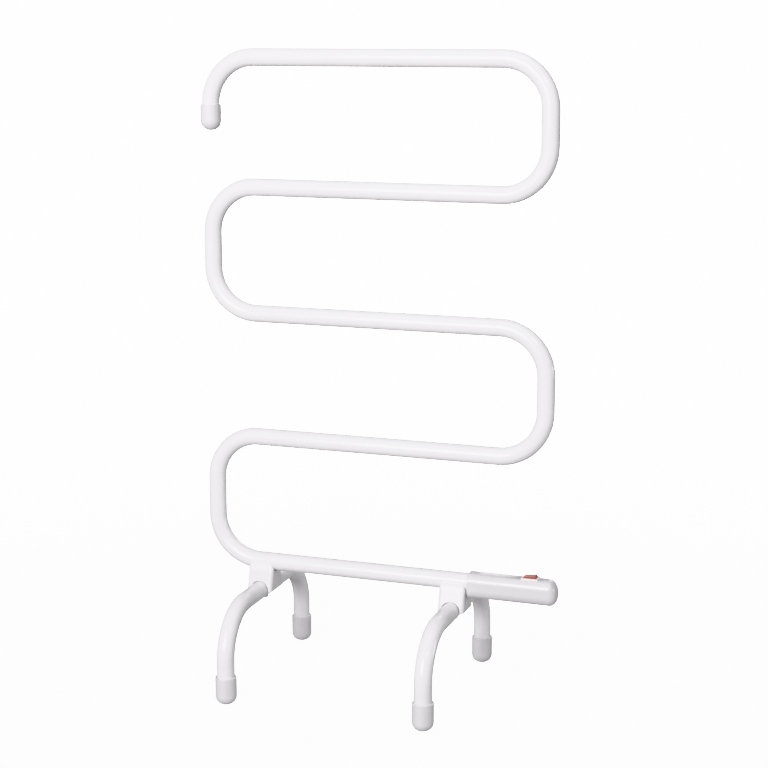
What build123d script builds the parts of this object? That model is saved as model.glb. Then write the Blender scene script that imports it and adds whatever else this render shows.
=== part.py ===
import os
from math import radians, sin

from build123d import *

os.makedirs("parts", exist_ok=True)

# Rail tube, bent into five level bars from one length of steel tube
tube_d = 25.0
tube_wall = 1.2
bend_r = 64.0
column_gap = 480.0
low_bar_z = 165.5
low_bar_gap = 181.0
bar_gap = 175.5
bar_4_z = low_bar_z + low_bar_gap
bar_3_z = bar_4_z + bar_gap
bar_2_z = bar_3_z + bar_gap
bar_1_z = bar_2_z + bar_gap
tube_r = tube_d / 2
bore_r = tube_r - tube_wall

# Clearances used between neighbouring pieces
weld_gap = 0.2
slip_gap = 0.15
fit_gap = 0.1
move_gap = 0.3

# Control housing at the free end of the lowest bar
housing_reach = 21.0
housing_w = 32.0
housing_up = 15.0
housing_down = 20.5
housing_corner_r = 13.0
housing_end_r = 10.0
housing_wall = 2.5
housing_to_bracket = 2.4
collar_l = 31.5
tube_insert = 28.5

# Foot tubes, two arches across the rail
left_foot_in = 71.0
right_foot_in = 124.3
foot_half = 138.0
foot_bend_r = 66.0
foot_top_z = 126.5

# Moulded caps on the tube ends
foot_cap_d = 30.0
foot_cap_h = 39.0
foot_cap_floor = 9.0
foot_cap_round = 12.0
top_cap_d = 29.0
top_cap_l = 35.5
top_cap_cover = 22.0
top_cap_round = 13.5
top_cap_z = bar_1_z - bend_r
stub_end_z = top_cap_z - top_cap_cover

# The middle of the overall width is X = 0
overall_w = top_cap_d / 2 + column_gap + housing_reach
left_x = top_cap_d / 2 - overall_w / 2
right_x = left_x + column_gap
left_foot_x = left_x + left_foot_in
right_foot_x = right_x - right_foot_in

# Sheet-steel saddles that join the lowest bar to the foot tubes
bracket_w = 38.0
bracket_sheet = 2.0
bracket_fold_r = 5.0
bracket_low_z = foot_top_z - 1.5
bracket_high_z = low_bar_z - 4.0
bracket_low_half = 22.4
bracket_high_half = 13.0
notch_gap = 0.3

# Housing stations along X and levels along Z
housing_x = right_foot_x + bracket_w / 2 + housing_to_bracket
housing_end_x = right_x + housing_reach
collar_end_x = housing_x + collar_l
tube_end_x = housing_x + tube_insert
housing_top_z = low_bar_z + housing_up
housing_low_z = low_bar_z - housing_down
part_z = low_bar_z - 9.5
cavity_half = housing_w / 2 - housing_wall
cavity_top_z = housing_top_z - housing_wall
cavity_floor_z = housing_low_z + housing_wall
cavity_end_x = housing_end_x - housing_wall

# Rocker switch set into a flat on the housing top
switch_in = 37.75
switch_x = housing_end_x - switch_in
seat_z = housing_top_z - 1.4
bezel_l = 23.4
bezel_w = 17.6
bezel_t = 2.2
frame_l = 20.4
frame_w = 15.4
frame_wall = 1.1
frame_depth = 12.5
frame_low_z = seat_z - frame_depth
opening_l = frame_l - 2 * frame_wall
opening_w = frame_w - 2 * frame_wall
pivot_z = seat_z + 0.9
rocker_tilt = 6.0
rocker_w = opening_w - 2 * move_gap
rocker_end_r = opening_l / 2 - move_gap
rocker_rise = 4.0
rocker_dip = 3.5
rocker_drop = 2.6
rocker_skin = 1.2
pin_r = 0.8
pin_reach = 0.9

# See-saw contact under the rocker
blade_l = 15.0
blade_w = 4.0
blade_t = 0.6
blade_tilt = 4.2
blade_z = pivot_z - 9.5
tab_pitch = 6.5
tab_t = 0.8
tab_w = 4.8
tab_low_z = low_bar_z - 7.0

# Heating cable and the pieces that hold it in the tube
cable_d = 5.0
cable_end_x = collar_end_x + 5.0
cable_stop_z = stub_end_z + 10.0
spacer_t = 4.0
spacer_out = 110.0

# Screws
foot_screw_r = 2.5
foot_screw_head_r = 4.75
foot_screw_head_t = 3.2
nut_plate_t = 3.0
nut_plate_z = low_bar_z - tube_r - 8.5
case_screw_r = 1.3
case_screw_head_r = 2.3
case_screw_past_collar = 40.5
case_screw_x = collar_end_x + case_screw_past_collar
case_screw_y = 9.4
end_screw_in = 15.9
case_screw_end_x = housing_end_x - end_screw_in
tube_screw_in = 6.0
tube_screw_x = housing_x + tube_screw_in
earth_past_pin = 9.5
earth_x = tube_screw_x + earth_past_pin
small_screw_r = 1.45

# Terminal block, cut-out and wires
block_past_collar = 15.0
block_x = collar_end_x + block_past_collar
block_l = 17.5
block_w = 17.4
block_h = 12.0
block_lift = 0.8
rib_t = 1.2
rib_w = 9.0
pole_pitch = 5.8
pole_z = low_bar_z - 12.0
insert_r = 2.1
insert_bore_r = 1.3
wire_d = 2.2
wire_bend = 3.0
cutout_r = 2.2
cutout_l = 12.0
cutout_x = block_x
cutout_y = -3.5
cutout_lift = 5.5
cutout_z = low_bar_z + cutout_lift

# Cord inlet gland in the back wall
gland_in = 20.4
gland_x = housing_end_x - gland_in
gland_drop = 2.75
gland_z = low_bar_z - gland_drop
gland_bore_r = 3.4
gland_shank_r = 4.3
gland_flange_r = 5.6
gland_flange_t = 3.0
gland_nut_t = 3.0


def save(solid, name):
    solid.label = name
    export_step(solid, "parts/" + name + ".step")


def rail_path(start_x, stop_z):
    return FilletPolyline(
        (start_x, 0, low_bar_z),
        (left_x, 0, low_bar_z),
        (left_x, 0, bar_4_z),
        (right_x, 0, bar_4_z),
        (right_x, 0, bar_3_z),
        (left_x, 0, bar_3_z),
        (left_x, 0, bar_2_z),
        (right_x, 0, bar_2_z),
        (right_x, 0, bar_1_z),
        (left_x, 0, bar_1_z),
        (left_x, 0, stop_z),
        radius=bend_r,
    )


def x_plane(x, z=low_bar_z):
    return Plane(origin=(x, 0, z), x_dir=(0, 1, 0), z_dir=(1, 0, 0))


def y_plane(x, y, z):
    return Plane(origin=(x, y, z), x_dir=(-1, 0, 0), z_dir=(0, 1, 0))


def side_plane(x=0, y=0, z=0):
    return Plane(origin=(x, y, z), x_dir=(1, 0, 0), z_dir=(0, -1, 0))


# Serpentine rail tube with its two screw holes near the housing end
with BuildPart() as rail:
    with BuildLine() as rail_line:
        rail_path(tube_end_x, stub_end_z)
    with BuildSketch(Plane(rail_line.line @ 0, z_dir=rail_line.line % 0)):
        Circle(tube_r)
    sweep()
    with BuildSketch(Plane(rail_line.line @ 0, z_dir=rail_line.line % 0)):
        Circle(bore_r)
    sweep(path=rail_line.line, mode=Mode.SUBTRACT)
    with BuildSketch(Plane.XY.offset(low_bar_z - tube_r - 1)):
        with Locations((tube_screw_x, 0), (earth_x, 0)):
            Circle(small_screw_r + fit_gap)
    extrude(amount=tube_wall + 2, mode=Mode.SUBTRACT)
save(rail.part, "serpentine_tube")

# Heating cable that runs the whole length of the bore
with BuildPart() as cable:
    with BuildLine() as cable_line:
        rail_path(cable_end_x, cable_stop_z)
    with BuildSketch(Plane(cable_line.line @ 0, z_dir=cable_line.line % 0)):
        Circle(cable_d / 2)
    sweep()
save(cable.part, "heating_cable")

# Silicone spacers that hold the cable off the tube wall, two in each bar
with BuildPart() as spacers:
    for bar_z in (low_bar_z, bar_4_z, bar_3_z, bar_2_z, bar_1_z):
        for side in (-1, 1):
            with BuildSketch(x_plane((left_x + right_x) / 2 + side * spacer_out - spacer_t / 2, bar_z)):
                Circle(bore_r - slip_gap)
                Circle(cable_d / 2 + slip_gap, mode=Mode.SUBTRACT)
            extrude(amount=spacer_t)
save(spacers.part, "cable_spacers")

# Potted seal over the far end of the cable, inside the hanging end of the tube
seal_r = bore_r - slip_gap
seal_l = 16.0
seal_cover = 10.0
with BuildPart() as seal:
    with BuildSketch(Plane.XY.offset(cable_stop_z - seal_l + seal_cover)):
        Circle(seal_r)
    extrude(amount=seal_l)
    with BuildSketch(Plane.XY.offset(cable_stop_z - slip_gap)):
        Circle(cable_d / 2 + slip_gap)
    extrude(amount=seal_cover + 1, mode=Mode.SUBTRACT)
    fillet(seal.edges().filter_by(GeomType.CIRCLE).group_by(Axis.Z)[0], 1.5)
save(Pos(left_x, 0, 0) * seal.part, "cable_end_seal")


def tube_cap(outer_d, length, cover, end_round):
    # Cap standing on its closed end, bored from above for the tube
    with BuildPart() as cap:
        with BuildSketch():
            Circle(outer_d / 2)
        extrude(amount=length)
        with BuildSketch(Plane.XY.offset(length - cover)):
            Circle(tube_r + slip_gap)
        extrude(amount=cover, mode=Mode.SUBTRACT)
        rings = cap.edges().filter_by(GeomType.CIRCLE)
        fillet(rings.group_by(Axis.Z)[0], end_round)
        rings = cap.edges().filter_by(GeomType.CIRCLE)
        fillet(rings.group_by(Axis.Z)[-1].sort_by(SortBy.RADIUS)[-1], 0.8)
    return cap.part


# Moulded caps: one on the hanging end of the rail, four on the feet
top_cap = tube_cap(top_cap_d, top_cap_l, top_cap_cover, top_cap_round)
save(Pos(left_x, 0, top_cap_z - top_cap_l) * top_cap, "top_end_cap")
foot_cap = tube_cap(foot_cap_d, foot_cap_h, foot_cap_h - foot_cap_floor, foot_cap_round)
for foot_name, foot_x in (("left", left_foot_x), ("right", right_foot_x)):
    for end_name, end_side in (("front", -1), ("back", 1)):
        placed_cap = Pos(foot_x, end_side * foot_half, 0) * foot_cap
        save(placed_cap, "foot_cap_" + end_name + "_" + foot_name)


def foot_tube():
    # Arch of tube with a vertical hole through its middle for the foot screw
    with BuildPart() as foot:
        with BuildLine() as foot_line:
            FilletPolyline(
                (0, -foot_half, foot_cap_floor),
                (0, -foot_half, foot_top_z),
                (0, foot_half, foot_top_z),
                (0, foot_half, foot_cap_floor),
                radius=foot_bend_r,
            )
        with BuildSketch(Plane(foot_line.line @ 0, z_dir=foot_line.line % 0)):
            Circle(tube_r)
        sweep()
        with BuildSketch(Plane(foot_line.line @ 0, z_dir=foot_line.line % 0)):
            Circle(bore_r)
        sweep(path=foot_line.line, mode=Mode.SUBTRACT)
        with BuildSketch(Plane.XY.offset(foot_top_z - tube_r - 1)):
            Circle(foot_screw_r + fit_gap)
        extrude(amount=tube_d + 2, mode=Mode.SUBTRACT)
    return foot.part


# The two foot arches
foot_arch = foot_tube()
save(Pos(left_foot_x, 0, 0) * foot_arch, "left_foot_tube")
save(Pos(right_foot_x, 0, 0) * foot_arch, "right_foot_tube")


def saddle():
    # Folded and welded sheet box, open below, cut round both tubes
    rise = bracket_high_z - bracket_low_z
    run = bracket_low_half - bracket_high_half
    inset = bracket_sheet * (rise ** 2 + run ** 2) ** 0.5 / rise
    with BuildPart() as bracket:
        with BuildSketch(x_plane(-bracket_w / 2, 0)):
            with BuildLine():
                Polyline(
                    (-bracket_low_half, bracket_low_z),
                    (bracket_low_half, bracket_low_z),
                    (bracket_high_half, bracket_high_z),
                    (-bracket_high_half, bracket_high_z),
                    close=True,
                )
            make_face()
        extrude(amount=bracket_w)
        slopes = bracket.edges().filter_by(lambda e: abs(e.tangent_at(0.5).Z) > 0.5)
        fillet(slopes, bracket_fold_r)
        with BuildPart(mode=Mode.SUBTRACT) as hollow:
            with BuildSketch(x_plane(-bracket_w / 2 + bracket_sheet, 0)):
                with BuildLine():
                    Polyline(
                        (-bracket_low_half + inset, bracket_low_z),
                        (bracket_low_half - inset, bracket_low_z),
                        (bracket_high_half - inset, bracket_high_z),
                        (-bracket_high_half + inset, bracket_high_z),
                        close=True,
                    )
                make_face()
            extrude(amount=bracket_w - 2 * bracket_sheet)
            inner_slopes = hollow.edges().filter_by(lambda e: abs(e.tangent_at(0.5).Z) > 0.5)
            fillet(inner_slopes, bracket_fold_r - bracket_sheet)
        with BuildSketch(x_plane(-bracket_w / 2 - 1)):
            Circle(tube_r + weld_gap)
        extrude(amount=bracket_w + 2, mode=Mode.SUBTRACT)
        with BuildSketch(side_plane(0, bracket_low_half + 1, foot_top_z)):
            Circle(tube_r + notch_gap)
        extrude(amount=2 * bracket_low_half + 2, mode=Mode.SUBTRACT)
    return bracket.part


# The two saddles, welded to the lowest bar
saddle_part = saddle()
save(Pos(left_foot_x, 0, 0) * saddle_part, "left_bracket")
save(Pos(right_foot_x, 0, 0) * saddle_part, "right_bracket")


def nut_plate():
    # Tapped plate welded across the inside of a saddle
    with BuildPart() as plate:
        with BuildSketch(Plane.XY.offset(nut_plate_z)):
            RectangleRounded(bracket_w - 2 * bracket_sheet - 2 * weld_gap, 2 * bracket_high_half, 2)
            Circle(foot_screw_r + fit_gap, mode=Mode.SUBTRACT)
        extrude(amount=nut_plate_t)
    return plate.part


# Tapped plates inside the saddles
tapped_plate = nut_plate()
save(Pos(left_foot_x, 0, 0) * tapped_plate, "left_nut_plate")
save(Pos(right_foot_x, 0, 0) * tapped_plate, "right_nut_plate")


def pan_screw(shank_r, head_r, head_t, length, recess_w):
    # Screw standing on its head, shank upwards, with a cross recess below
    with BuildPart() as screw:
        with BuildSketch():
            Circle(head_r)
        extrude(amount=head_t)
        fillet(screw.edges().filter_by(GeomType.CIRCLE).group_by(Axis.Z)[0], head_t * 0.45)
        with BuildSketch(Plane.XY.offset(head_t)):
            Circle(shank_r)
        extrude(amount=length)
        chamfer(screw.edges().filter_by(GeomType.CIRCLE).group_by(Axis.Z)[-1], shank_r * 0.3)
        with BuildSketch():
            Rectangle(head_r, recess_w)
            Rectangle(recess_w, head_r)
        extrude(amount=head_t * 0.5, mode=Mode.SUBTRACT)
    return screw.part


# Screws up through the foot tubes into the tapped plates
foot_screw_z = foot_top_z - tube_r - fit_gap - foot_screw_head_t
foot_screw_l = nut_plate_z + nut_plate_t + 3.0 - foot_screw_z - foot_screw_head_t
foot_screw = pan_screw(foot_screw_r, foot_screw_head_r, foot_screw_head_t, foot_screw_l, 1.4)
with BuildPart() as foot_screws:
    with Locations((left_foot_x, 0, foot_screw_z), (right_foot_x, 0, foot_screw_z)):
        add(foot_screw)
save(foot_screws.part, "foot_screws")


def housing_section(half_w, low_z, high_z, radius):
    # Rounded upright section, drawn round the low bar's axis
    middle = (low_z + high_z) / 2 - low_bar_z
    with Locations((0, middle)):
        RectangleRounded(2 * half_w, high_z - low_z, radius)


def housing_outer():
    # Outside of the housing as one solid, bull-nosed at its free end
    with BuildPart() as outer:
        with BuildSketch(x_plane(housing_x)):
            housing_section(housing_w / 2, housing_low_z, housing_top_z, housing_corner_r)
        extrude(amount=housing_end_x - housing_x)
        end_edges = outer.faces().sort_by(Axis.X)[-1].edges()
        fillet(end_edges, housing_end_r)
        start_edges = outer.faces().sort_by(Axis.X)[0].edges()
        fillet(start_edges, 1.0)
    return outer.part


def housing_blank(outer_part):
    # The hollow housing before it is parted into an upper and a lower shell
    with BuildPart() as blank:
        add(outer_part)
        with BuildPart(mode=Mode.SUBTRACT) as cavity:
            with BuildSketch(x_plane(collar_end_x)):
                housing_section(cavity_half, cavity_floor_z, cavity_top_z, housing_corner_r - housing_wall)
            extrude(amount=cavity_end_x - collar_end_x)
            cavity_ends = cavity.faces().sort_by(Axis.X)[-1].edges()
            fillet(cavity_ends, housing_end_r - housing_wall)
        with BuildSketch(x_plane(housing_x - 1)):
            Circle(tube_r + slip_gap)
        extrude(amount=collar_l + 1.5, mode=Mode.SUBTRACT)
    return blank.part


# Housing shells, parted level with the start of the lower corner rounding
outer_part = housing_outer()
blank_part = housing_blank(outer_part)
boss_places = (
    (case_screw_x, case_screw_y),
    (case_screw_x, -case_screw_y),
    (case_screw_end_x, 0),
)
boss_r = 3.6
boss_head_r = case_screw_head_r + 0.2
boss_shelf_z = housing_low_z + 5.5
pilot_depth = 9.0
with BuildPart() as bosses:
    with BuildSketch(Plane.XY.offset(housing_low_z)):
        with Locations(*boss_places):
            Circle(boss_r)
    extrude(amount=housing_top_z - housing_low_z)
    add(outer_part, mode=Mode.INTERSECT)
with BuildPart() as upper:
    add(blank_part)
    add(bosses.part)
    with BuildSketch(Plane.XY.offset(part_z)):
        with Locations(*boss_places):
            Circle(case_screw_r + fit_gap)
    extrude(amount=pilot_depth, mode=Mode.SUBTRACT)
    for rib_at in (2.0, cutout_l - 3.5):
        with BuildSketch(x_plane(cutout_x + rib_at)):
            with BuildLine():
                Polyline(
                    (cutout_y - 3.6, cutout_z - low_bar_z - 0.5),
                    (cutout_y + 3.6, cutout_z - low_bar_z - 0.5),
                    (cutout_y + 3.6, housing_up - 1.5),
                    (cutout_y - 3.6, housing_up - 1.5),
                    close=True,
                )
            make_face()
            with Locations((cutout_y, cutout_z - low_bar_z)):
                Circle(cutout_r + slip_gap, mode=Mode.SUBTRACT)
        extrude(amount=1.5)
    with BuildSketch(Plane.XY.offset(seat_z)):
        with Locations((switch_x, 0)):
            Rectangle(bezel_l + 2 * fit_gap, housing_w)
    extrude(amount=housing_top_z - seat_z + 1, mode=Mode.SUBTRACT)
    with BuildSketch(Plane.XY.offset(cavity_top_z - 1)):
        with Locations((switch_x, 0)):
            Rectangle(frame_l + 2 * fit_gap, frame_w + 2 * fit_gap)
    extrude(amount=housing_top_z - cavity_top_z + 2, mode=Mode.SUBTRACT)
    with BuildSketch(y_plane(gland_x, cavity_half - 1, gland_z)):
        Circle(gland_shank_r + fit_gap)
    extrude(amount=housing_wall + 2, mode=Mode.SUBTRACT)
    split(bisect_by=Plane.XY.offset(part_z), keep=Keep.TOP)
save(upper.part, "housing_upper")

# Lower shell with screw wells, block ribs and the pocket for the earth tag
pocket_x = housing_x + 11.0
with BuildPart() as lower:
    add(blank_part)
    add(bosses.part)
    with BuildSketch(Plane.XY.offset(housing_low_z - 1)):
        with Locations(*boss_places):
            Circle(boss_head_r)
        with Locations((tube_screw_x, 0)):
            Circle(boss_head_r)
    extrude(amount=boss_shelf_z - housing_low_z + 1, mode=Mode.SUBTRACT)
    with BuildSketch(Plane.XY.offset(housing_low_z - 1)):
        with Locations(*boss_places):
            Circle(case_screw_r + fit_gap)
        with Locations((tube_screw_x, 0)):
            Circle(small_screw_r + fit_gap)
    extrude(amount=part_z - housing_low_z + 1, mode=Mode.SUBTRACT)
    for rib_x in (block_x - rib_t / 2 - fit_gap, block_x + block_l + rib_t / 2 + fit_gap):
        with BuildSketch(Plane.XY.offset(cavity_floor_z - 0.5)):
            with Locations((rib_x, 0)):
                Rectangle(rib_t, rib_w)
        extrude(amount=block_lift + 2.5)
    for rib_x in (block_x + 2 * rib_t, block_x + block_l - 2 * rib_t):
        with BuildSketch(Plane.XY.offset(cavity_floor_z - 0.5)):
            with Locations((rib_x, 0)):
                Rectangle(rib_t, rib_w)
        extrude(amount=block_lift + 0.5)
    with BuildSketch(Plane.XY.offset(cavity_floor_z)):
        with Locations(((pocket_x + collar_end_x + 1) / 2, 0)):
            Rectangle(collar_end_x + 1 - pocket_x, 11)
    extrude(amount=part_z - cavity_floor_z, mode=Mode.SUBTRACT)
    split(bisect_by=Plane.XY.offset(part_z), keep=Keep.BOTTOM)
save(lower.part, "housing_lower")

# Screws that draw the two shells together
case_screw = pan_screw(case_screw_r, case_screw_head_r, 1.8, 12.0, 0.8)
case_screw_z = boss_shelf_z - 1.8
with BuildPart() as case_screws:
    with Locations(*[(x, y, case_screw_z) for x, y in boss_places]):
        add(case_screw)
save(case_screws.part, "housing_screws")

# Screw that pins the tube in the collar
tube_screw_l = low_bar_z - bore_r + 1.2 - boss_shelf_z
tube_screw = pan_screw(small_screw_r, case_screw_head_r, 1.8, tube_screw_l, 0.8)
save(Pos(tube_screw_x, 0, case_screw_z) * tube_screw, "tube_pin_screw")

# Bush in the tube end that guards the cable where it leaves
bush_in = 8.5
bush_flange_t = 2.4
with BuildPart() as bush:
    with BuildSketch(x_plane(tube_end_x - bush_in)):
        Circle(bore_r - slip_gap)
    extrude(amount=bush_in)
    with BuildSketch(x_plane(tube_end_x)):
        Circle(tube_r - 0.2)
    extrude(amount=bush_flange_t)
    with BuildSketch(x_plane(tube_end_x - bush_in)):
        Circle(cable_d / 2 + slip_gap)
    extrude(amount=bush_in + bush_flange_t, mode=Mode.SUBTRACT)
save(bush.part, "tube_end_bush")

# Earth tag and its screw, under the tube inside the collar
tag_t = 0.8
tag_top_z = low_bar_z - tube_r - slip_gap
tag_r = 3.2
barrel_z = tag_top_z - 1.5
barrel_x = earth_x + 5.0
barrel_l = 5.0
with BuildPart() as tag:
    with BuildSketch(Plane.XY.offset(tag_top_z - tag_t)):
        with Locations((earth_x, 0)):
            Circle(tag_r)
        with Locations((earth_x + 3.0, 0)):
            Rectangle(6.0, 3.0)
        with Locations((earth_x, 0)):
            Circle(small_screw_r + fit_gap, mode=Mode.SUBTRACT)
    extrude(amount=tag_t)
    with BuildSketch(x_plane(barrel_x, barrel_z)):
        Circle(1.5)
        Circle(wire_d / 2 + 0.05, mode=Mode.SUBTRACT)
    extrude(amount=barrel_l)
save(tag.part, "earth_tag")
earth_head_t = 1.6
earth_screw = pan_screw(small_screw_r, 2.6, earth_head_t, tag_t + slip_gap + tube_wall + 1.0, 0.8)
save(Pos(earth_x, 0, tag_top_z - tag_t - earth_head_t) * earth_screw, "earth_screw")

# Terminal block with three brass inserts and six clamping screws
block_floor_z = cavity_floor_z + block_lift
block_top_z = block_floor_z + block_h
screw_stations = (block_x + 3.5, block_x + block_l - 3.5)
poles = (-pole_pitch, 0, pole_pitch)
clamp_r = 1.2
clamp_low_z = pole_z + wire_d / 2 + 0.1
clamp_high_z = block_top_z - 0.8
with BuildPart() as block:
    with BuildSketch(Plane.XY.offset(block_floor_z)):
        with Locations((block_x + block_l / 2, 0)):
            Rectangle(block_l, block_w)
    extrude(amount=block_h)
    chamfer(block.edges().filter_by(Axis.X).group_by(Axis.Z)[0], 2.0)
    fillet(block.edges().filter_by(Axis.Z), 0.8)
    with BuildSketch(x_plane(block_x - 1, pole_z)):
        with Locations(*[(pole_y, 0) for pole_y in poles]):
            Circle(insert_r + fit_gap)
    extrude(amount=block_l + 2, mode=Mode.SUBTRACT)
    with BuildSketch(Plane.XY.offset(pole_z)):
        with Locations(*[(x, pole_y) for x in screw_stations for pole_y in poles]):
            Circle(clamp_r + fit_gap)
    extrude(amount=block_top_z - pole_z + 1, mode=Mode.SUBTRACT)
save(block.part, "terminal_block")
with BuildPart() as inserts:
    with BuildSketch(x_plane(block_x + 0.5, pole_z)):
        with Locations(*[(pole_y, 0) for pole_y in poles]):
            Circle(insert_r)
            Circle(insert_bore_r, mode=Mode.SUBTRACT)
    extrude(amount=block_l - 1)
    with BuildSketch(Plane.XY.offset(pole_z)):
        with Locations(*[(x, pole_y) for x in screw_stations for pole_y in poles]):
            Circle(clamp_r + 0.05)
    extrude(amount=insert_r + 1, mode=Mode.SUBTRACT)
save(inserts.part, "terminal_inserts")
with BuildPart() as clamps:
    for x in screw_stations:
        for pole_y in poles:
            with BuildSketch(Plane.XY.offset(clamp_low_z)):
                with Locations((x, pole_y)):
                    Circle(clamp_r)
            extrude(amount=clamp_high_z - clamp_low_z)
            with BuildSketch(Plane.XY.offset(clamp_high_z - 0.6)):
                with Locations((x, pole_y)):
                    Rectangle(0.5, 2 * clamp_r)
            extrude(amount=0.6, mode=Mode.SUBTRACT)
save(clamps.part, "terminal_screws")

# Thermal cut-out hung in the two clips of the upper shell
with BuildPart() as cutout:
    with BuildSketch(x_plane(cutout_x, cutout_z)):
        with Locations((cutout_y, 0)):
            Circle(cutout_r)
    extrude(amount=cutout_l)
    fillet(cutout.edges().filter_by(GeomType.CIRCLE), 0.6)
save(cutout.part, "thermal_cutout")


def wire(name, *points):
    # Insulated wire along straight runs and round bends, points from the low bar's axis
    route = [(x, y, low_bar_z + z) for x, y, z in points]
    with BuildPart() as strand:
        with BuildLine() as strand_line:
            if len(route) > 2:
                FilletPolyline(*route, radius=wire_bend)
            else:
                Line(*route)
        with BuildSketch(Plane(strand_line.line @ 0, z_dir=strand_line.line % 0)):
            Circle(wire_d / 2)
        sweep()
    save(strand.part, name)


# Wires of the circuit inside the housing
pole_drop = pole_z - low_bar_z
core_y = wire_d / 2 + 0.1
lamp_wire_y = 4.0
entry_x = block_x + 2.5
leave_x = block_x + block_l - 2.5
tab_drop = tab_low_z - low_bar_z
cutout_rise = cutout_z - low_bar_z
wire(
    "wire_heater_live",
    (cable_end_x, -core_y, 0),
    (cable_end_x + 3.8, -core_y, 0),
    (cutout_x - 4.0, cutout_y, cutout_rise),
    (cutout_x, cutout_y, cutout_rise),
)
wire(
    "wire_heater_neutral",
    (cable_end_x, core_y, 0),
    (cable_end_x + 4.0, core_y, 0),
    (block_x - 4.5, pole_pitch, pole_drop),
    (entry_x, pole_pitch, pole_drop),
)
wire(
    "wire_switched_live",
    (cutout_x + cutout_l, cutout_y, cutout_rise),
    (case_screw_x - 3.5, cutout_y, cutout_rise),
    (case_screw_x + 2.5, -core_y, -4.0),
    (switch_x - tab_pitch - tab_t / 2, -core_y, -4.0),
)
wire(
    "wire_live",
    (leave_x, 0, pole_drop),
    (switch_x, 0, pole_drop),
    (switch_x, 0, tab_drop),
)
wire(
    "wire_lamp",
    (leave_x, pole_pitch, pole_drop),
    (leave_x + 4.0, pole_pitch, pole_drop),
    (leave_x + 8.5, lamp_wire_y, pole_drop),
    (switch_x - 0.6, lamp_wire_y, pole_drop),
    (switch_x + tab_pitch, 1.0, pole_drop),
    (switch_x + tab_pitch, 1.0, tab_drop),
)
wire(
    "wire_earth",
    (barrel_x + 1.5, 0, barrel_z - low_bar_z),
    (collar_end_x + 3.5, 0, barrel_z - low_bar_z),
    (collar_end_x + 9.0, -pole_pitch, pole_drop),
    (entry_x, -pole_pitch, pole_drop),
)

# Cord inlet gland and its nut in the back wall
with BuildPart() as gland:
    with BuildSketch(y_plane(gland_x, housing_w / 2, gland_z)):
        Circle(gland_flange_r)
    extrude(amount=gland_flange_t)
    fillet(gland.edges().filter_by(GeomType.CIRCLE).group_by(Axis.Y)[-1], 1.2)
    with BuildSketch(y_plane(gland_x, housing_w / 2, gland_z)):
        Circle(gland_shank_r)
    extrude(amount=-housing_wall - gland_nut_t - 1.5)
    with BuildSketch(y_plane(gland_x, housing_w / 2 + gland_flange_t, gland_z)):
        Circle(gland_bore_r)
    extrude(amount=-housing_wall - gland_nut_t - gland_flange_t - 1.5, mode=Mode.SUBTRACT)
save(gland.part, "cord_gland")
with BuildPart() as gland_nut:
    with BuildSketch(y_plane(gland_x, cavity_half - slip_gap, gland_z)):
        RegularPolygon(5.2, 6, major_radius=False)
        Circle(gland_shank_r + 0.05, mode=Mode.SUBTRACT)
    extrude(amount=-gland_nut_t)
save(gland_nut.part, "gland_nut")

# Switch frame: bezel on the flat, box below it, pivot holes for the rocker
with BuildPart() as frame:
    with BuildSketch(Plane.XY.offset(seat_z)):
        with Locations((switch_x, 0)):
            RectangleRounded(bezel_l, bezel_w, 1.5)
    extrude(amount=bezel_t)
    fillet(frame.faces().sort_by(Axis.Z)[-1].edges(), 0.9)
    with BuildSketch(Plane.XY.offset(frame_low_z)):
        with Locations((switch_x, 0)):
            Rectangle(frame_l, frame_w)
    extrude(amount=frame_depth)
    with BuildSketch(Plane.XY.offset(frame_low_z + frame_wall)):
        with Locations((switch_x, 0)):
            Rectangle(opening_l, opening_w)
    extrude(amount=frame_depth + bezel_t, mode=Mode.SUBTRACT)
    with BuildSketch(y_plane(switch_x, -opening_w / 2 - frame_wall, pivot_z)):
        Circle(pin_r + 0.05)
    extrude(amount=opening_w + 2 * frame_wall, mode=Mode.SUBTRACT)
    with BuildSketch(Plane.XY.offset(frame_low_z - 1)):
        with Locations(*[(switch_x + k * tab_pitch, 0) for k in (-1, 0, 1)]):
            Rectangle(tab_t + 2 * fit_gap, tab_w + 2 * fit_gap)
    extrude(amount=frame_wall + 2, mode=Mode.SUBTRACT)
save(frame.part, "switch_frame")

# Three brass tabs; the outer two end in contact pads under the blade
pad_top_z = blade_z - blade_l / 2 * sin(radians(blade_tilt)) - move_gap
with BuildPart() as tabs:
    for k in (-1, 0, 1):
        tab_top_z = blade_z - move_gap if k == 0 else pad_top_z
        with BuildSketch(Plane.XY.offset(tab_low_z)):
            with Locations((switch_x + k * tab_pitch, 0)):
                Rectangle(tab_t, tab_w)
        extrude(amount=tab_top_z - tab_low_z)
        if k != 0:
            with BuildSketch(Plane.XY.offset(pad_top_z - 0.6)):
                with Locations((switch_x + k * tab_pitch, 0)):
                    RectangleRounded(2.6, 4.4, 1.0)
            extrude(amount=0.6)
save(tabs.part, "switch_tabs")

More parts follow.
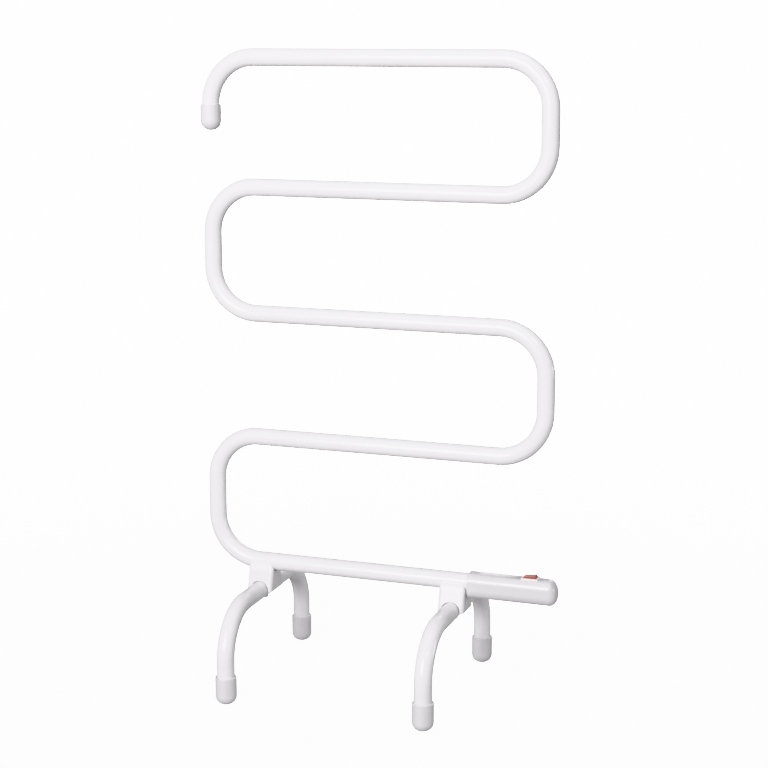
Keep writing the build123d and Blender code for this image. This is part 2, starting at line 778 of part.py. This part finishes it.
# Rocker in its rest place, outer end up; built level and then tilted
top_reach = (rocker_end_r ** 2 - rocker_rise ** 2) ** 0.5
low_reach = (rocker_end_r ** 2 - rocker_drop ** 2) ** 0.5
plunger_r = 1.5
guide_r = 2.4
with BuildPart() as rocker:
    with BuildSketch(side_plane(0, rocker_w / 2, 0)):
        with BuildLine():
            ThreePointArc((-top_reach, rocker_rise), (0, rocker_dip), (top_reach, rocker_rise))
            ThreePointArc((top_reach, rocker_rise), (rocker_end_r, 0), (low_reach, -rocker_drop))
            Line((low_reach, -rocker_drop), (-low_reach, -rocker_drop))
            ThreePointArc((-low_reach, -rocker_drop), (-rocker_end_r, 0), (-top_reach, rocker_rise))
        make_face()
    extrude(amount=rocker_w)
    top_rim = rocker.faces().sort_by(Axis.Z)[-1].edges()
    fillet(top_rim, 0.5)
    with BuildSketch(Plane.XY.offset(-rocker_drop)):
        Rectangle(2 * low_reach - 2 * rocker_skin - 1.2, rocker_w - 2 * rocker_skin)
    extrude(amount=rocker_drop + rocker_dip - rocker_skin, mode=Mode.SUBTRACT)
    with BuildSketch(Plane.XY.offset(-5.2)):
        Circle(guide_r)
    extrude(amount=5.2 + rocker_dip - rocker_skin + 0.2)
    with BuildSketch(Plane.XY.offset(-5.2)):
        Circle(plunger_r + 0.05)
    extrude(amount=5.2 + 0.6, mode=Mode.SUBTRACT)
    with BuildSketch(y_plane(0, -rocker_w / 2 - move_gap - pin_reach, 0)):
        Circle(pin_r)
    extrude(amount=2 * pin_reach + 2 * move_gap + rocker_w)
    with BuildSketch(Plane.XY.offset(-5.2)):
        Circle(plunger_r + 0.05)
    extrude(amount=5.2 + 0.6, mode=Mode.SUBTRACT)
rocker_rest = Pos(switch_x, 0, pivot_z) * Rot(0, -rocker_tilt, 0)
save(rocker_rest * rocker.part, "rocker_button")

# Plunger that slides in the rocker's guide and rides on the blade
plunger_tip_z = blade_z + blade_t + move_gap - pivot_z
plunger_l = 4.6
with BuildPart() as plunger:
    with BuildSketch(Plane.XY.offset(plunger_tip_z)):
        Circle(plunger_r)
    extrude(amount=plunger_l)
    fillet(plunger.edges().filter_by(GeomType.CIRCLE).group_by(Axis.Z)[0], 1.2)
save(rocker_rest * plunger.part, "switch_plunger")

# Spring between the plunger and the roof of the guide
spring_wire_r = 0.2
spring_r = 1.15
spring_low = plunger_tip_z + plunger_l + spring_wire_r
spring_high = 0.6 - spring_wire_r
spring_turns = 5
with BuildPart() as spring:
    with BuildLine() as spring_line:
        Helix((spring_high - spring_low) / spring_turns, spring_high - spring_low, spring_r)
    with BuildSketch(Plane(spring_line.line @ 0, z_dir=spring_line.line % 0)):
        Circle(spring_wire_r)
    sweep(is_frenet=True)
save(rocker_rest * (Pos(0, 0, spring_low) * spring.part), "plunger_spring")

# Neon lamp under the rocker's outer half
lamp_r = 1.4
lamp_l = 5.0
lamp_x = guide_r + lamp_r + 0.4
with BuildPart() as lamp:
    with BuildSketch(side_plane(lamp_x, lamp_l / 2, -0.9)):
        Circle(lamp_r)
    extrude(amount=lamp_l)
    fillet(lamp.edges().filter_by(GeomType.CIRCLE), 0.6)
save(rocker_rest * lamp.part, "neon_lamp")

# See-saw contact blade, tilted against the rocker
with BuildPart() as blade:
    with BuildSketch():
        RectangleRounded(blade_l, blade_w, 1.2)
    extrude(amount=blade_t)
    with BuildSketch(side_plane(0, blade_w / 2, 0)):
        Circle(0.3)
    extrude(amount=blade_w, mode=Mode.SUBTRACT)
blade_rest = Pos(switch_x, 0, blade_z) * Rot(0, blade_tilt, 0)
save(blade_rest * blade.part, "contact_blade")
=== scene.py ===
import math

import bmesh
import bpy
from mathutils import Matrix, Vector


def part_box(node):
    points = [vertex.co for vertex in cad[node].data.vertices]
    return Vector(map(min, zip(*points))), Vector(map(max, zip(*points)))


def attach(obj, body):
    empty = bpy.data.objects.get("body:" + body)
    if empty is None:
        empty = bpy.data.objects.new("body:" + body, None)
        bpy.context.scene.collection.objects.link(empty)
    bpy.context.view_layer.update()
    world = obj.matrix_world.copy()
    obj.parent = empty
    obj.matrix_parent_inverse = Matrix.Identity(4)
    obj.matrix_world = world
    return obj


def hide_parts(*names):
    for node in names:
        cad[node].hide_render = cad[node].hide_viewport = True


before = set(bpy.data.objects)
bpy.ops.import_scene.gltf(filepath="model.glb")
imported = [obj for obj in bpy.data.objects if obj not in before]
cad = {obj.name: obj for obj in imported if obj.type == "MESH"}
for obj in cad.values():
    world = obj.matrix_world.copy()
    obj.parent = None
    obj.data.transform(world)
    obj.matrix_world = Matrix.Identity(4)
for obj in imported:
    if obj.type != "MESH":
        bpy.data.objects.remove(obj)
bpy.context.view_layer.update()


# Rail: one 25 mm steel tube, bent cold back and forth into five level bars.
# Powder coated white after bending: a thick satin film that rounds every edge
# a little and dries with a faint orange peel.
MM = 0.001


def linear(hex_colour):
    """Linear colour of an sRGB hex value."""
    parts = [int(hex_colour[i : i + 2], 16) / 255 for i in (0, 2, 4)]
    return tuple(c / 12.92 if c < 0.04045 else ((c + 0.055) / 1.055) ** 2.4 for c in parts) + (1.0,)


def add_node(tree, kind, settings=None, links=None):
    """Adds a node, sets its properties and sockets, and links its inputs."""
    made = tree.nodes.new(kind)
    for name, value in (settings or {}).items():
        if name in made.inputs:
            made.inputs[name].default_value = value
        else:
            setattr(made, name, value)
    for name, source in (links or {}).items():
        tree.links.new(source, made.inputs[name])
    return made


def start_finish(name, settings):
    """A new material: its node tree, its shader, and where its patterns are measured from."""
    finish = bpy.data.materials.new(name)
    finish.use_nodes = True
    tree = finish.node_tree
    tree.nodes.clear()
    shader = add_node(tree, "ShaderNodeBsdfPrincipled", settings)
    add_node(tree, "ShaderNodeOutputMaterial", {}, {"Surface": shader.outputs["BSDF"]})
    place = add_node(tree, "ShaderNodeTexCoord").outputs["Object"]
    return finish, tree, shader, place


def tint(made, patch, first, second, detail=1.0):
    """Lets the colour drift between two shades over patches of one size."""
    finish, tree, shader, place = made
    drift = add_node(tree, "ShaderNodeTexNoise", {"Scale": 1 / patch, "Detail": detail}, {"Vector": place})
    shade = add_node(
        tree,
        "ShaderNodeMix",
        {"data_type": "RGBA", "A": linear(first), "B": linear(second)},
        {"Factor": drift.outputs["Fac"]},
    )
    tree.links.new(shade.outputs["Result"], shader.inputs["Base Color"])


def relief(made, size, depth, glossy, dull, stretch=(1.0, 1.0, 1.0)):
    """Raises fine bumps of one size, and makes their tops duller than their hollows."""
    low, high = 0.3, 0.7
    finish, tree, shader, place = made
    drawn = add_node(tree, "ShaderNodeVectorMath", {"operation": "MULTIPLY"}, {"Vector": place})
    drawn.inputs[1].default_value = stretch
    bumps = add_node(
        tree, "ShaderNodeTexNoise", {"Scale": 1 / size, "Detail": 2.0}, {"Vector": drawn.outputs["Vector"]}
    )
    gloss = add_node(
        tree,
        "ShaderNodeMapRange",
        {"From Min": low, "From Max": high, "To Min": glossy, "To Max": dull},
        {"Value": bumps.outputs["Fac"]},
    )
    raised = add_node(tree, "ShaderNodeBump", {"Distance": depth}, {"Height": bumps.outputs["Fac"]})
    tree.links.new(gloss.outputs["Result"], shader.inputs["Roughness"])
    tree.links.new(raised.outputs["Normal"], shader.inputs["Normal"])


def dress(made, *names):
    """Gives CAD nodes a finish in place of the plain one."""
    for name in names:
        mesh = cad[name].data
        mesh.materials.clear()
        mesh.materials.append(made[0])


powder_white = "f6f4f6"
powder_thin = "eeecef"
coat_patch = 90 * MM
coat_wave = 2.2 * MM
coat_depth = 0.008 * MM
powder_coat = start_finish("white_powder_coat_on_steel", {"IOR": 1.5, "Specular IOR Level": 0.5})
tint(powder_coat, coat_patch, powder_white, powder_thin)
relief(powder_coat, coat_wave, coat_depth, glossy=0.14, dull=0.2)
dress(powder_coat, "serpentine_tube")


# Foot arches: the same tube, bent to an arch each, drilled through the top for
# its screw, and powder coated in one batch with the rail.
dress(powder_coat, "left_foot_tube", "right_foot_tube")


# Saddles: 2 mm steel sheet, folded to a box with soft corners, notched round
# both tubes and welded to the lowest bar. The weld is ground smooth and the
# powder coat runs thicker over it, so that the plates flow into the bar. The
# sheet's white is painted a shade greyer than the bar's, as painted shade under
# the bar, and it fades into the bar's white towards the top of the plates.
tube_r = 12.5 * MM
bar_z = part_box("serpentine_tube")[0].z + tube_r
saddle_top_half = 13 * MM
saddle_top_drop = 4 * MM
saddle_fold_r = 5 * MM
weld_start = 0.5 * MM
weld_proud = 0.15 * MM
weld_reach = 7.5 * MM
weld_root = 1.2 * MM
weld_fade = ((2 * MM, 0.9 * MM), (1 * MM, 0.25 * MM), (0.0, 0.0))
weld_points = 10
drain_r = 1.2 * MM
drain_angle = math.radians(60)
side_gap = 0.9 * MM
side_sheet = 2.4 * MM
notch_gap = 0.3 * MM
notch_shift = 0.8 * MM
rod_sides = 64
stitch = 0.001 * MM
skin_voxel = 0.4 * MM
skin_passes = 4
painted_shade_drop = 16 * MM
# Painted shade: the sheet is a shade greyer than the bar's powder coat.
shaded_sheet_coat = start_finish("white_powder_coat_with_painted_shade", {"IOR": 1.5, "Specular IOR Level": 0.5})
tint(shaded_sheet_coat, coat_patch, "e9e7ea", "e4e2e5")
relief(shaded_sheet_coat, coat_wave, coat_depth, glossy=0.18, dull=0.24)
finish, tree, shader, place = shaded_sheet_coat
height = add_node(tree, "ShaderNodeSeparateXYZ", {}, {"Vector": place})
beside_bar = add_node(
    tree,
    "ShaderNodeMapRange",
    {
        "From Min": bar_z - painted_shade_drop,
        "From Max": bar_z - saddle_top_drop,
        "interpolation_type": "SMOOTHSTEP",
    },
    {"Value": height.outputs["Z"]},
)
# Painted shade fades out: between 16 and 4 mm below the bar's axis the grey gives way to the bar's white.
shade_fading_at_bar = add_node(
    tree,
    "ShaderNodeMix",
    {"data_type": "RGBA", "B": linear(powder_white)},
    {"Factor": beside_bar.outputs["Result"], "A": shader.inputs["Base Color"].links[0].from_socket},
)
tree.links.new(shade_fading_at_bar.outputs["Result"], shader.inputs["Base Color"])


def place_mesh(bm, name):
    """Turns a bmesh into an object in the scene."""
    mesh = bpy.data.meshes.new(name)
    bm.to_mesh(mesh)
    bm.free()
    made = bpy.data.objects.new(name, mesh)
    bpy.context.scene.collection.objects.link(made)
    return made


def skin_rings(bm, rings):
    """Joins rings of points with faces and closes both ends."""
    loops = [[bm.verts.new(point) for point in ring] for ring in rings]
    for near, far in zip(loops, loops[1:]):
        for i, corner in enumerate(near):
            j = (i + 1) % len(near)
            bm.faces.new((corner, near[j], far[j], far[i]))
    bm.faces.new(reversed(loops[0]))
    bm.faces.new(loops[-1])


def weld_section(side, slope, sunk):
    """Outline of the weld between plate and bar, hollow on its outer face."""
    start = (tube_r + weld_proud, weld_start)
    end = (saddle_top_half + slope * (weld_reach - saddle_top_drop), -weld_reach)
    corner_y = tube_r + weld_proud
    corner = (corner_y, -saddle_top_drop - (corner_y - saddle_top_half) / slope)
    outline = []
    for step in range(weld_points + 1):
        t = step / weld_points
        pairs = zip(start, corner, end)
        outline.append([(1 - t) ** 2 * a + 2 * t * (1 - t) * b + t * t * c for a, b, c in pairs])
    outline += [
        [end[0] - weld_root, end[1]],
        [tube_r - weld_root, -saddle_top_drop],
        [tube_r - weld_root, weld_start + weld_proud],
    ]
    return [(-side * (y - sunk), bar_z + z) for y, z in outline]


def add_rod(bm, middle, radius, length, axis):
    """A round rod for cutting, along X (turned about Y) or along Y (turned about X)."""
    bmesh.ops.create_cone(
        bm,
        cap_ends=True,
        segments=rod_sides,
        radius1=radius,
        radius2=radius,
        depth=length,
        matrix=Matrix.Translation(middle) @ Matrix.Rotation(math.pi / 2, 4, axis),
    )


def build_saddle(node, foot, name):
    """The folded box of a CAD node with its gaps and welds, under one soft skin."""
    low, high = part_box(node)
    middle = (low.x + high.x) / 2
    width = high.x - low.x
    slope = (high.y - saddle_top_half) / (high.z - low.z)
    foot_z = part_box(foot)[1].z - tube_r
    bm = bmesh.new()
    bm.from_mesh(cad[node].data)
    bmesh.ops.remove_doubles(bm, verts=bm.verts, dist=stitch)
    box = place_mesh(bm, name)
    bm = bmesh.new()
    for side in (-1, 1):
        out = tube_r + drain_r / 2
        drain = (middle, side * out * math.cos(drain_angle), bar_z - out * math.sin(drain_angle))
        add_rod(bm, drain, drain_r, 2 * width, "Y")
        plate = middle + side * (width - side_sheet) / 2
        add_rod(bm, (plate, 0.0, bar_z), tube_r + side_gap, side_sheet, "Y")
        shoulder = (middle + side * notch_shift, 0.0, foot_z)
        add_rod(bm, shoulder, tube_r + notch_gap, 4 * high.y, "X")
    gaps = place_mesh(bm, name + "_gaps")
    cut = box.modifiers.new("gaps_at_the_tubes", "BOOLEAN")
    cut.object = gaps
    cut.use_self = True
    cut.operation = "DIFFERENCE"
    view = bpy.context.evaluated_depsgraph_get()
    bm = bmesh.new()
    bm.from_mesh(box.evaluated_get(view).data)
    half = width / 2 - saddle_fold_r
    stations = tuple((-half - past, sunk) for past, sunk in weld_fade)
    stations += tuple((-x, sunk) for x, sunk in reversed(stations))
    for side in (-1, 1):
        rings = []
        for x, sunk in stations:
            rings.append([(middle + x, y, z) for y, z in weld_section(side, slope, sunk)])
        skin_rings(bm, rings)
    bmesh.ops.recalc_face_normals(bm, faces=bm.faces)
    rough = place_mesh(bm, name + "_rough")
    merge = rough.modifiers.new("one_skin", "REMESH")
    merge.mode = "VOXEL"
    merge.voxel_size = skin_voxel
    soften = rough.modifiers.new("paint_softened_edges", "SMOOTH")
    soften.iterations = skin_passes
    view = bpy.context.evaluated_depsgraph_get()
    mesh = bpy.data.meshes.new_from_object(rough.evaluated_get(view))
    for spare in (box, gaps, rough):
        bpy.data.objects.remove(spare)
    mesh.name = name
    mesh.materials.clear()
    mesh.materials.append(shaded_sheet_coat[0])
    mesh.shade_smooth()
    saddle = bpy.data.objects.new(name, mesh)
    bpy.context.scene.collection.objects.link(saddle)
    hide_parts(node)
    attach(saddle, "frame")


build_saddle("left_bracket", "left_foot_tube", "left_saddle")
build_saddle("right_bracket", "right_foot_tube", "right_saddle")


# Tapped plates and every screw: cold-formed steel, zinc plated and clear
# passivated, which gives a bright grey metal with a slight straw tint. The
# crystals of the plating are drawn far coarser than they are, so that they show.
zinc_patch = 6 * MM
zinc_grain = 0.7 * MM
zinc_depth = 0.01 * MM
zinc_plate = start_finish("bright_zinc_plated_steel", {"Metallic": 1.0})
tint(zinc_plate, zinc_patch, "c6cacf", "d6d2c0", detail=3.0)
relief(zinc_plate, zinc_grain, zinc_depth, glossy=0.24, dull=0.42)
dress(
    zinc_plate,
    "left_nut_plate",
    "right_nut_plate",
    "foot_screws",
    "tube_pin_screw",
    "earth_screw",
    "housing_screws",
    "terminal_screws",
    "plunger_spring",
)


# Caps on the five tube ends: injection moulded polypropylene, pushed on. A
# touch greyer and duller than the paint, with the fine grain of a
# spark-eroded mould, drawn here about three times as coarse so that it shows.
cap_grain = 0.9 * MM
cap_depth = 0.012 * MM
moulded_cap = start_finish("moulded_white_polypropylene", {"IOR": 1.49})
tint(moulded_cap, 25 * MM, "e3e1e4", "dcdadd")
relief(moulded_cap, cap_grain, cap_depth, glossy=0.4, dull=0.52)
dress(
    moulded_cap,
    "top_end_cap",
    "foot_cap_front_left",
    "foot_cap_back_left",
    "foot_cap_front_right",
    "foot_cap_back_right",
)


# Heating cable: resistance wire in an extruded silicone sheath, laid through
# the whole tube. Silicone is milky and soft, with a dull, slightly dusty skin.
sheath_patch = 30 * MM
silicone_sheath = start_finish("extruded_silicone_sheath", {"IOR": 1.41, "Subsurface Weight": 0.1})
silicone_sheath[2].inputs["Subsurface Radius"].default_value = (1 * MM, 1 * MM, 1 * MM)
tint(silicone_sheath, sheath_patch, "d8d8d2", "c9c9c2")
relief(silicone_sheath, 1.2 * MM, 0.02 * MM, glossy=0.5, dull=0.66)
dress(silicone_sheath, "heating_cable")


# Spacers, end seal and tube bush: moulded grey silicone, matt, with a light
# bloom that leaves them patchy.
moulded_silicone = start_finish("moulded_grey_silicone", {"IOR": 1.41})
tint(moulded_silicone, 4 * MM, "8f8f8f", "a2a29f", detail=2.0)
relief(moulded_silicone, 0.8 * MM, 0.02 * MM, glossy=0.58, dull=0.74)
dress(moulded_silicone, "cable_spacers", "cable_end_seal", "tube_end_bush")


# Control housing: two moulded ABS shells with a domed free end, screwed
# together from below. The mould is finely eroded, so light breaks softly along
# the top edge; its grain is drawn about four times as coarse, so that it shows.
abs_grain = 0.8 * MM
abs_depth = 0.006 * MM
moulded_abs = start_finish("moulded_white_abs", {"IOR": 1.53, "Specular IOR Level": 0.5})
tint(moulded_abs, 60 * MM, "e2dfe3", "dddade")
relief(moulded_abs, abs_grain, abs_depth, glossy=0.15, dull=0.2)
dome_reach = 13 * MM
dome_drop = 3 * MM
dome_spread = 1.03
dome_step = 1 * MM
end_fillet_r = 10 * MM
crease = math.radians(30)
housing_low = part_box("housing_lower")[0]
housing_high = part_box("housing_upper")[1]
housing_mid = (housing_low.z + housing_high.z) / 2
housing_half = (housing_high.z - housing_low.z) / 2
dome_start = housing_high.x - dome_reach
dome_z = housing_mid - dome_drop
dome_half = (housing_half + dome_drop) * dome_spread


def build_shell(node, name):
    """The shell of a CAD node, with its flat end drawn in above and below the middle."""
    bm = bmesh.new()
    bm.from_mesh(cad[node].data)
    bmesh.ops.remove_doubles(bm, verts=bm.verts, dist=stitch)
    levels = int(dome_half / dome_step)
    for level in range(-levels, levels + 1):
        faces = [face for face in bm.faces if max(vert.co.x for vert in face.verts) > dome_start]
        edges = {edge for face in faces for edge in face.edges}
        verts = {vert for face in faces for vert in face.verts}
        bmesh.ops.bisect_plane(
            bm,
            geom=faces + list(edges) + list(verts),
            plane_co=(0.0, 0.0, dome_z + level * dome_step),
            plane_no=(0.0, 0.0, 1.0),
        )
    for vert in bm.verts:
        past = vert.co.x - dome_start
        if past > 0:
            over = max(abs(vert.co.z - housing_mid) - housing_half + end_fillet_r, 0.0)
            flat = dome_reach - end_fillet_r + math.sqrt(max(end_fillet_r**2 - over**2, 0.0))
            domed = dome_reach * math.sqrt(1 - ((vert.co.z - dome_z) / dome_half) ** 2)
            vert.co.x = dome_start + past * min(domed / flat, 1.0)
    shell = place_mesh(bm, name)
    shell.data.shade_smooth()
    shell.data.set_sharp_from_angle(angle=crease)
    shell.data.materials.append(moulded_abs[0])
    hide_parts(node)
    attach(shell, "frame")


build_shell("housing_upper", "upper_shell")
build_shell("housing_lower", "lower_shell")


# Earth tag, terminal inserts, switch tabs and see-saw contact: stamped brass,
# bright where the tool sheared it and browner where it was handled. The lines
# of the rolled strip are drawn several times as coarse, so that they show.
stamped_brass = start_finish("stamped_brass", {"Metallic": 1.0})
tint(stamped_brass, 3 * MM, "d9b76a", "b9924a", detail=3.0)
relief(stamped_brass, 0.5 * MM, 0.01 * MM, glossy=0.25, dull=0.4, stretch=(0.2, 1.0, 1.0))
dress(stamped_brass, "earth_tag", "terminal_inserts", "switch_tabs", "contact_blade")


# Terminal block, gland nut and switch plunger: natural nylon, moulded. It is
# milky, takes up some moisture and yellows in patches.
natural_nylon = start_finish("moulded_natural_nylon", {"IOR": 1.53, "Subsurface Weight": 0.15})
natural_nylon[2].inputs["Subsurface Radius"].default_value = (1 * MM, 1 * MM, 0.7 * MM)
tint(natural_nylon, 7 * MM, "efeade", "e6dfcb", detail=2.0)
relief(natural_nylon, 0.7 * MM, 0.015 * MM, glossy=0.4, dull=0.55)
dress(natural_nylon, "terminal_block", "gland_nut", "switch_plunger")


# Thermal cut-out: a drawn aluminium can, with the fine lengthwise lines that
# the die leaves, drawn about twice as coarse as they are.
drawn_aluminium = start_finish("drawn_aluminium", {"Metallic": 1.0})
tint(drawn_aluminium, 5 * MM, "cfd0d2", "bfc0c3", detail=2.0)
relief(drawn_aluminium, 0.3 * MM, 0.01 * MM, glossy=0.28, dull=0.4, stretch=(0.08, 1.0, 1.0))
dress(drawn_aluminium, "thermal_cutout")


# Wires: stranded copper in extruded PVC, brown for live, blue for neutral.
# The insulation is semi-gloss and slightly wavy over the strands.
strand_wave = 0.9 * MM
wire_depth = 0.015 * MM
for wire_name, first, second, wires in (
    ("brown_pvc_insulation", "5c3a24", "4c2f1d", ("wire_heater_live", "wire_switched_live", "wire_live")),
    ("blue_pvc_insulation", "1f53a6", "1a4690", ("wire_heater_neutral", "wire_lamp")),
):
    insulation = start_finish(wire_name, {"IOR": 1.52})
    tint(insulation, 5 * MM, first, second)
    relief(insulation, strand_wave, wire_depth, glossy=0.34, dull=0.46)
    dress(insulation, *wires)


# Earth wire: stranded copper in the same extruded PVC, green with a yellow
# stripe that the die winds round it.
stripe_pitch = 2.4 * MM
wave_length = 0.314  # of the wave texture at a scale of 1
stripe_edges = (0.45, 0.55)
earth_pvc = start_finish("green_and_yellow_pvc_insulation", {"IOR": 1.52})
finish, tree, shader, place = earth_pvc
stripe = add_node(
    tree,
    "ShaderNodeTexWave",
    {"bands_direction": "DIAGONAL", "Scale": wave_length / stripe_pitch, "Distortion": 0.0},
    {"Vector": place},
)
ramp = add_node(
    tree,
    "ShaderNodeMapRange",
    {"From Min": stripe_edges[0], "From Max": stripe_edges[1]},
    {"Value": stripe.outputs["Fac"]},
)
stripes = add_node(
    tree,
    "ShaderNodeMix",
    {"data_type": "RGBA", "A": linear("2f8a3c"), "B": linear("e9cf2a")},
    {"Factor": ramp.outputs["Result"]},
)
tree.links.new(stripes.outputs["Result"], shader.inputs["Base Color"])
relief(earth_pvc, strand_wave, wire_depth, glossy=0.34, dull=0.46)
dress(earth_pvc, "wire_earth")


# Switch frame and cord gland: glass-filled nylon, moulded off-white, with the
# silky shine of a polished mould.
moulded_bezel = start_finish("moulded_off_white_nylon", {"IOR": 1.53})
tint(moulded_bezel, 8 * MM, "f2f0ef", "ecebe8")
relief(moulded_bezel, 0.6 * MM, 0.006 * MM, glossy=0.24, dull=0.32)
dress(moulded_bezel, "switch_frame", "cord_gland")


# Rocker: clear red polycarbonate, moulded over the lamp. Its upward faces are
# painted a pale pink, a painted reflection of the bright room, while the sides keep their red.
reflection_pale = "d8b4ab"
reflection_deep = "c0948b"
rocker_red = "bd625b"
reflection_from_facing = 0.6
reflection_full_facing = 0.95
red_polycarbonate = start_finish(
    "clear_red_polycarbonate",
    {"IOR": 1.58, "Transmission Weight": 0.15, "Specular IOR Level": 0.2},
)
tint(red_polycarbonate, 4 * MM, reflection_pale, reflection_deep)
relief(red_polycarbonate, 3 * MM, 0.02 * MM, glossy=0.3, dull=0.4)
finish, tree, shader, place = red_polycarbonate
# Painted reflection: faces turning upward go from the red to the pale shades, fully pale once they face
# nearly straight up.
surface = add_node(tree, "ShaderNodeTexCoord")
facing = add_node(tree, "ShaderNodeSeparateXYZ", {}, {"Vector": surface.outputs["Normal"]})
upward = add_node(
    tree,
    "ShaderNodeMapRange",
    {"From Min": reflection_from_facing, "From Max": reflection_full_facing},
    {"Value": facing.outputs["Z"]},
)
skin = add_node(
    tree,
    "ShaderNodeMix",
    {"data_type": "RGBA", "A": linear(rocker_red)},
    {"Factor": upward.outputs["Result"], "B": shader.inputs["Base Color"].links[0].from_socket},
)
tree.links.new(skin.outputs["Result"], shader.inputs["Base Color"])
dress(red_polycarbonate, "rocker_button")


# Neon lamp: a thin envelope of drawn glass, pinched off at its end. It is
# clear, slightly wavy and a little warm from the gas and the wires inside.
lamp_glass = start_finish("drawn_clear_glass", {"IOR": 1.47, "Transmission Weight": 1.0})
tint(lamp_glass, 4 * MM, "fbf3ee", "f7e7dc")
relief(lamp_glass, 1.5 * MM, 0.01 * MM, glossy=0.02, dull=0.05)
dress(lamp_glass, "neon_lamp")


# Studio floor: matt white paper, lit from below until it burns out to white
# round the object, as a light table does.
floor_half = 12.0
floor_drop = 0.5 * MM
glow_starts, glow_full = 0.4, 2.5
glow_near, glow_far = 3.0, 8.0
bm = bmesh.new()
corners = ((-1, -1), (1, -1), (1, 1), (-1, 1))
bm.faces.new([bm.verts.new((x * floor_half, y * floor_half, -floor_drop)) for x, y in corners])
floor = place_mesh(bm, "studio_floor")
paper, tree, shader, place = start_finish(
    "matte_white_paper",
    {"Base Color": linear("f2f1f2"), "Roughness": 0.9, "Emission Color": linear("ffffff")},
)
spread = add_node(tree, "ShaderNodeVectorMath", {"operation": "LENGTH"}, {"Vector": place})
glow = add_node(
    tree,
    "ShaderNodeMapRange",
    {
        "From Min": glow_starts,
        "From Max": glow_full,
        "To Min": glow_near,
        "To Max": glow_far,
        "interpolation_type": "SMOOTHSTEP",
    },
    {"Value": spread.outputs["Value"]},
)
tree.links.new(glow.outputs["Result"], shader.inputs["Emission Strength"])
floor.data.materials.append(paper)
floor.visible_diffuse = False
floor.visible_glossy = False


# Studio light: a pale room, and a large soft box in front, a little to the left.
# A small one high on the right makes the highlights on the bends, a narrow one
# lights the right sides of the feet, and weak ones fill from above and behind.
room_light = 0.33
backdrop_light = 10.0
world = bpy.data.worlds.new("studio")
bpy.context.scene.world = world
world.use_nodes = True
world.node_tree.nodes.clear()
soft = add_node(world.node_tree, "ShaderNodeBackground", {"Color": linear("ffffff"), "Strength": room_light})
shown = add_node(
    world.node_tree, "ShaderNodeBackground", {"Color": linear("fffeff"), "Strength": backdrop_light}
)
ray = add_node(world.node_tree, "ShaderNodeLightPath")
both = add_node(world.node_tree, "ShaderNodeMixShader", {}, {"Fac": ray.outputs["Is Camera Ray"]})
world.node_tree.links.new(soft.outputs["Background"], both.inputs[1])
world.node_tree.links.new(shown.outputs["Background"], both.inputs[2])
add_node(world.node_tree, "ShaderNodeOutputWorld", {}, {"Surface": both.outputs["Shader"]})

for name, at, aim, size, spread, power in (
    ("key_softbox", (-0.5, -3.2, 1.45), (0.0, 0.0, 0.85), 1.5, 110, 39.5),
    ("high_softbox", (1.6, -1.65, 2.1), (0.0, 0.0, 0.43), 0.2, 180, 9),
    ("low_side_softbox", (2.2, 0.9, 0.35), (0.0, 0.0, 0.08), 0.5, 30, 0.32),
    ("top_softbox", (0.2, -0.3, 2.7), (0.1, 0.0, 0.0), 1.2, 180, 7),
    ("back_softbox", (0.3, 3.0, 1.5), (0.0, 0.0, 0.45), 1.6, 180, 15),
):
    lamp = bpy.data.lights.new(name, "AREA")
    lamp.size = size
    lamp.spread = math.radians(spread)
    lamp.energy = power
    holder = bpy.data.objects.new(name, lamp)
    bpy.context.scene.collection.objects.link(holder)
    holder.location = at
    holder.rotation_mode = "QUATERNION"
    holder.rotation_quaternion = (Vector(at) - Vector(aim)).to_track_quat("Z", "Y")


# Camera: in front, a little to the right and above the rail, on a long lens.
# It has no shift and no depth of field.
turn = math.radians(19.53)
tilt = math.radians(11.44)
reach = 2.4188
target = Vector((0.00905, 0.0, 0.4345))
back = Vector((math.sin(turn) * math.cos(tilt), -math.cos(turn) * math.cos(tilt), math.sin(tilt)))
lens = bpy.data.cameras.new("studio_camera")
lens.sensor_width = 36.0
lens.lens = 82.95
eye = bpy.data.objects.new("studio_camera", lens)
bpy.context.scene.collection.objects.link(eye)
eye.location = target + back * reach
eye.rotation_mode = "QUATERNION"
eye.rotation_quaternion = back.to_track_quat("Z", "Y")
bpy.context.scene.camera = eye
bpy.context.scene.view_settings.view_transform = "Khronos PBR Neutral"
